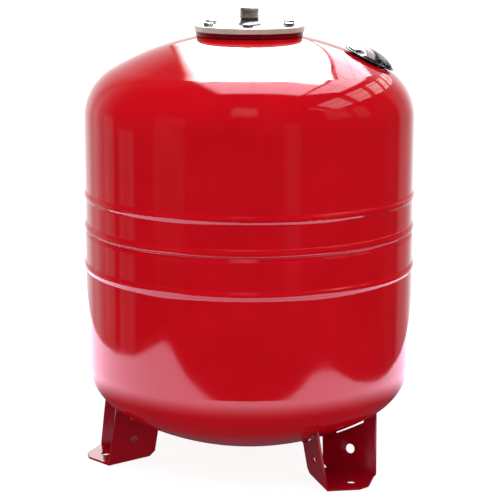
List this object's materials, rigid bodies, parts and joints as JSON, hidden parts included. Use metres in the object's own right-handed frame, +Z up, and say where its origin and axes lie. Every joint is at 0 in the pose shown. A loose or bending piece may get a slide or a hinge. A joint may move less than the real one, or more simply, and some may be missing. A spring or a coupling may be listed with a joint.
{
  "type": "expansion vessel",
  "caption": "Upright red steel tank with dished ends on bent sheet feet, bolted top flange with threaded nozzle, and a screw cover over the air valve.",
  "frame": {"origin": "on the floor, under the tank's axis, at the middle of the box's underside", "axes": "+Z up along the tank's axis towards the water nozzle, +X towards the air valve's side, the valve 6 degrees round from it towards -Y"},
  "size_m": [0.4559, 0.456, 0.622],
  "materials": {
    "shell_enamel": "glossy stoved enamel",
    "foot_enamel": "glossy enamel over bent sheet",
    "flange_steel": "turned and zinc plated",
    "nozzle_steel": "machined thread",
    "bolt_zinc": "bright zinc plated",
    "membrane_rubber": "moulded, matt",
    "weld_steel": "bare weld metal",
    "boss_steel": "turned",
    "valve_brass": "turned",
    "seal_rubber": "moulded",
    "spring_steel": "drawn wire",
    "cover_plastic": "glossy moulding",
    "dust_cap_plastic": "moulded"
  },
  "bodies": {
    "tank": {"upper_shell": "shell_enamel", "lower_shell": "shell_enamel", "seam_weld": "shell_enamel", "neck_ring": "shell_enamel", "neck_ring_weld": "weld_steel", "counter_flange": "flange_steel", "inlet_nozzle": "nozzle_steel", "flange_bolts": "bolt_zinc", "membrane": "membrane_rubber", "valve_boss": "boss_steel", "valve_boss_weld": "weld_steel", "valve_stem": "valve_brass", "valve_seal_ring": "seal_rubber", "valve_core_body": "valve_brass", "valve_core_gasket": "seal_rubber", "valve_core_spring": "spring_steel", "foot_1": "foot_enamel", "foot_2": "foot_enamel", "foot_3": "foot_enamel", "foot_welds": "foot_enamel"},
    "cover_seal": {"valve_cover_seal": "seal_rubber"},
    "cover": {"valve_cover": "cover_plastic"},
    "dust_cap_seal": {"valve_dust_cap_seal": "seal_rubber"},
    "dust_cap": {"valve_dust_cap": "dust_cap_plastic"},
    "valve_pin": {"valve_core_pin": "valve_brass", "valve_core_pin_seal": "seal_rubber"}
  },
  "joints": [
    {"name": "cover_rise", "type": "slide", "parent": "tank", "child": "cover_seal", "axis": [0.4331, -0.0455, 0.9002], "range_m": [0, 0.0075]},
    {"name": "cover_turn", "type": "hinge", "parent": "cover_seal", "child": "cover", "pos_m": [0.16111, -0.01693, 0.55283], "axis": [0.4331, -0.0455, 0.9002], "range_deg": [0, 1080]},
    {"name": "dust_cap_rise", "type": "slide", "parent": "tank", "child": "dust_cap_seal", "axis": [0.4331, -0.0455, 0.9002], "range_m": [0, 0.00238]},
    {"name": "dust_cap_turn", "type": "hinge", "parent": "dust_cap_seal", "child": "dust_cap", "pos_m": [0.16111, -0.01693, 0.55283], "axis": [0.4331, -0.0455, 0.9002], "range_deg": [0, 1080]},
    {"name": "valve_pin_press", "type": "slide", "parent": "tank", "child": "valve_pin", "axis": [-0.4331, 0.0455, -0.9002], "range_m": [0, 0.0015], "stiffness_N_per_m": 800, "springref_m": -0.002, "deforming": ["valve_core_spring"]}
  ],
  "couplings": [
    {"joint": "cover_turn", "follows": "cover_rise", "rad_per_m": 2513.3},
    {"joint": "dust_cap_turn", "follows": "dust_cap_rise", "rad_per_m": 7915.8}
  ]
}
